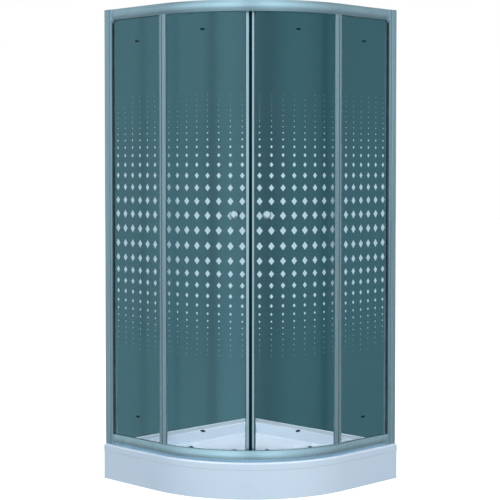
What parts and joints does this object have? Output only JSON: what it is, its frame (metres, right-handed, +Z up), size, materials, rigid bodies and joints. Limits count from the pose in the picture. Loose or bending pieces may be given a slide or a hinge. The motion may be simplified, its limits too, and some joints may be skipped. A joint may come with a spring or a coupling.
{
  "type": "corner shower enclosure",
  "caption": "Quadrant corner shower enclosure: low acrylic tray, curved aluminium rails, flat fixed panes and curved double sliding doors of tinted patterned glass.",
  "frame": {"origin": "on the floor, under the middle of the 900 by 900 mm footprint", "axes": "+Z up; the room corner is at (-X, +Y), one wall plane is x = -450 mm and the other y = +450 mm; the curved front faces (+X, -Y)"},
  "size_m": [0.9, 0.9, 2.025],
  "materials": {
    "tray_acrylic": "glossy white sanitary acrylic",
    "core_board": "resin-bonded chipboard, bare",
    "galvanised_steel": "galvanised, matt",
    "foot_plastic": "moulded black polyamide",
    "chrome": "bright chrome plate",
    "trap_plastic": "white polypropylene",
    "frame_aluminium": "satin anodised aluminium, bright",
    "cap_plastic": "grey moulded plastic",
    "safety_glass": "grey-green tinted toughened glass, polished, with a printed pattern of small white rhombs",
    "gasket_rubber": "black EPDM",
    "magnet_rubber": "dark magnetic strip",
    "clear_seal": "clear soft PVC",
    "steel_screws": "stainless",
    "carrier_plastic": "silver-grey moulded plastic",
    "wheel_plastic": "white acetal",
    "button_plastic": "silver-grey moulded plastic"
  },
  "bodies": {
    "enclosure": {"apron_panel": "tray_acrylic", "apron_straps": "galvanised_steel", "bottom_rail": "frame_aluminium", "door_stops": "gasket_rubber", "fixed_gasket_left": "gasket_rubber", "fixed_gasket_right": "gasket_rubber", "fixed_glass_left": "safety_glass", "fixed_glass_right": "safety_glass", "foot_lock_nuts": "galvanised_steel", "jamb_left": "frame_aluminium", "jamb_right": "frame_aluminium", "jamb_screws": "steel_screws", "rail_corner_caps": "cap_plastic", "rim_core": "core_board", "stile_left": "frame_aluminium", "stile_right": "frame_aluminium", "top_rail": "frame_aluminium", "tray_feet": "foot_plastic", "tray_frame": "galvanised_steel", "tray_shell": "tray_acrylic", "wall_channel_left": "frame_aluminium", "wall_channel_right": "frame_aluminium", "waste_cover": "chrome", "waste_flange": "chrome", "waste_trap": "trap_plastic"},
    "door_right": {"door_glass_right": "safety_glass", "door_lead_profile_right": "frame_aluminium", "magnet_strip_right": "magnet_rubber", "door_tail_profile_right": "frame_aluminium", "tail_seal_right": "clear_seal", "drip_seal_right": "clear_seal", "knob_outer_right": "chrome", "knob_inner_right": "chrome", "upper_carriers_right": "carrier_plastic", "lower_carriers_right": "carrier_plastic", "roller_axles_right": "steel_screws"},
    "upper_roller_right_lead": {"upper_wheel_right_lead": "wheel_plastic"},
    "upper_roller_right_tail": {"upper_wheel_right_tail": "wheel_plastic"},
    "lower_roller_right_lead": {"lower_wheel_right_lead": "wheel_plastic"},
    "lower_roller_right_tail": {"lower_wheel_right_tail": "wheel_plastic"},
    "button_right_lead": {"release_button_right_lead": "button_plastic"},
    "button_right_tail": {"release_button_right_tail": "button_plastic"},
    "door_left": {"door_glass_left": "safety_glass", "door_lead_profile_left": "frame_aluminium", "magnet_strip_left": "magnet_rubber", "door_tail_profile_left": "frame_aluminium", "tail_seal_left": "clear_seal", "drip_seal_left": "clear_seal", "knob_outer_left": "chrome", "knob_inner_left": "chrome", "upper_carriers_left": "carrier_plastic", "lower_carriers_left": "carrier_plastic", "roller_axles_left": "steel_screws"},
    "upper_roller_left_lead": {"upper_wheel_left_lead": "wheel_plastic"},
    "upper_roller_left_tail": {"upper_wheel_left_tail": "wheel_plastic"},
    "lower_roller_left_lead": {"lower_wheel_left_lead": "wheel_plastic"},
    "lower_roller_left_tail": {"lower_wheel_left_tail": "wheel_plastic"},
    "button_left_lead": {"release_button_left_lead": "button_plastic"},
    "button_left_tail": {"release_button_left_tail": "button_plastic"}
  },
  "joints": [
    {"name": "door_right_run", "type": "hinge", "parent": "enclosure", "child": "door_right", "pos_m": [-0.187, 0.128, 1.085], "axis": [0, 0, 1], "range_deg": [0, 24.5]},
    {"name": "upper_wheel_right_lead_spin", "type": "hinge", "parent": "door_right", "child": "upper_roller_right_lead", "pos_m": [0.30571, -0.20572, 1.9945], "axis": [0.7986, -0.6018, 0], "range_deg": [-1330, 0]},
    {"name": "lower_wheel_right_lead_spin", "type": "hinge", "parent": "door_right", "child": "lower_roller_right_lead", "pos_m": [0.30571, -0.20572, 0.1655], "axis": [0.7986, -0.6018, 0], "range_deg": [-1330, 0]},
    {"name": "release_button_right_lead_press", "type": "slide", "parent": "door_right", "child": "button_right_lead", "axis": [0.7986, -0.6018, 0], "range_m": [0, 0.003], "stiffness_N_per_m": 500, "springref_m": -0.001},
    {"name": "upper_wheel_right_tail_spin", "type": "hinge", "parent": "door_right", "child": "upper_roller_right_tail", "pos_m": [0.39248, -0.02462, 1.9945], "axis": [0.9694, -0.2453, 0], "range_deg": [-1340, 0]},
    {"name": "lower_wheel_right_tail_spin", "type": "hinge", "parent": "door_right", "child": "lower_roller_right_tail", "pos_m": [0.39248, -0.02462, 0.1655], "axis": [0.9694, -0.2453, 0], "range_deg": [-1340, 0]},
    {"name": "release_button_right_tail_press", "type": "slide", "parent": "door_right", "child": "button_right_tail", "axis": [0.9694, -0.2453, 0], "range_m": [0, 0.003], "stiffness_N_per_m": 500, "springref_m": -0.001},
    {"name": "door_left_run", "type": "hinge", "parent": "enclosure", "child": "door_left", "pos_m": [-0.128, 0.187, 1.085], "axis": [0, 0, -1], "range_deg": [0, 24.5]},
    {"name": "upper_wheel_left_lead_spin", "type": "hinge", "parent": "door_left", "child": "upper_roller_left_lead", "pos_m": [0.20572, -0.30571, 1.9945], "axis": [0.6018, -0.7986, 0], "range_deg": [0, 1330]},
    {"name": "lower_wheel_left_lead_spin", "type": "hinge", "parent": "door_left", "child": "lower_roller_left_lead", "pos_m": [0.20572, -0.30571, 0.1655], "axis": [0.6018, -0.7986, 0], "range_deg": [0, 1330]},
    {"name": "release_button_left_lead_press", "type": "slide", "parent": "door_left", "child": "button_left_lead", "axis": [0.6018, -0.7986, 0], "range_m": [0, 0.003], "stiffness_N_per_m": 500, "springref_m": -0.001},
    {"name": "upper_wheel_left_tail_spin", "type": "hinge", "parent": "door_left", "child": "upper_roller_left_tail", "pos_m": [0.02462, -0.39248, 1.9945], "axis": [0.2453, -0.9694, 0], "range_deg": [0, 1340]},
    {"name": "lower_wheel_left_tail_spin", "type": "hinge", "parent": "door_left", "child": "lower_roller_left_tail", "pos_m": [0.02462, -0.39248, 0.1655], "axis": [0.2453, -0.9694, 0], "range_deg": [0, 1340]},
    {"name": "release_button_left_tail_press", "type": "slide", "parent": "door_left", "child": "button_left_tail", "axis": [0.2453, -0.9694, 0], "range_m": [0, 0.003], "stiffness_N_per_m": 500, "springref_m": -0.001}
  ],
  "couplings": [
    {"joint": "upper_wheel_right_lead_spin", "follows": "door_right_run", "ratio": -53.612},
    {"joint": "lower_wheel_right_lead_spin", "follows": "door_right_run", "ratio": -53.612},
    {"joint": "upper_wheel_right_tail_spin", "follows": "door_right_run", "ratio": -53.985},
    {"joint": "lower_wheel_right_tail_spin", "follows": "door_right_run", "ratio": -53.985},
    {"joint": "upper_wheel_left_lead_spin", "follows": "door_left_run", "ratio": 53.612},
    {"joint": "lower_wheel_left_lead_spin", "follows": "door_left_run", "ratio": 53.612},
    {"joint": "upper_wheel_left_tail_spin", "follows": "door_left_run", "ratio": 53.985},
    {"joint": "lower_wheel_left_tail_spin", "follows": "door_left_run", "ratio": 53.985}
  ]
}
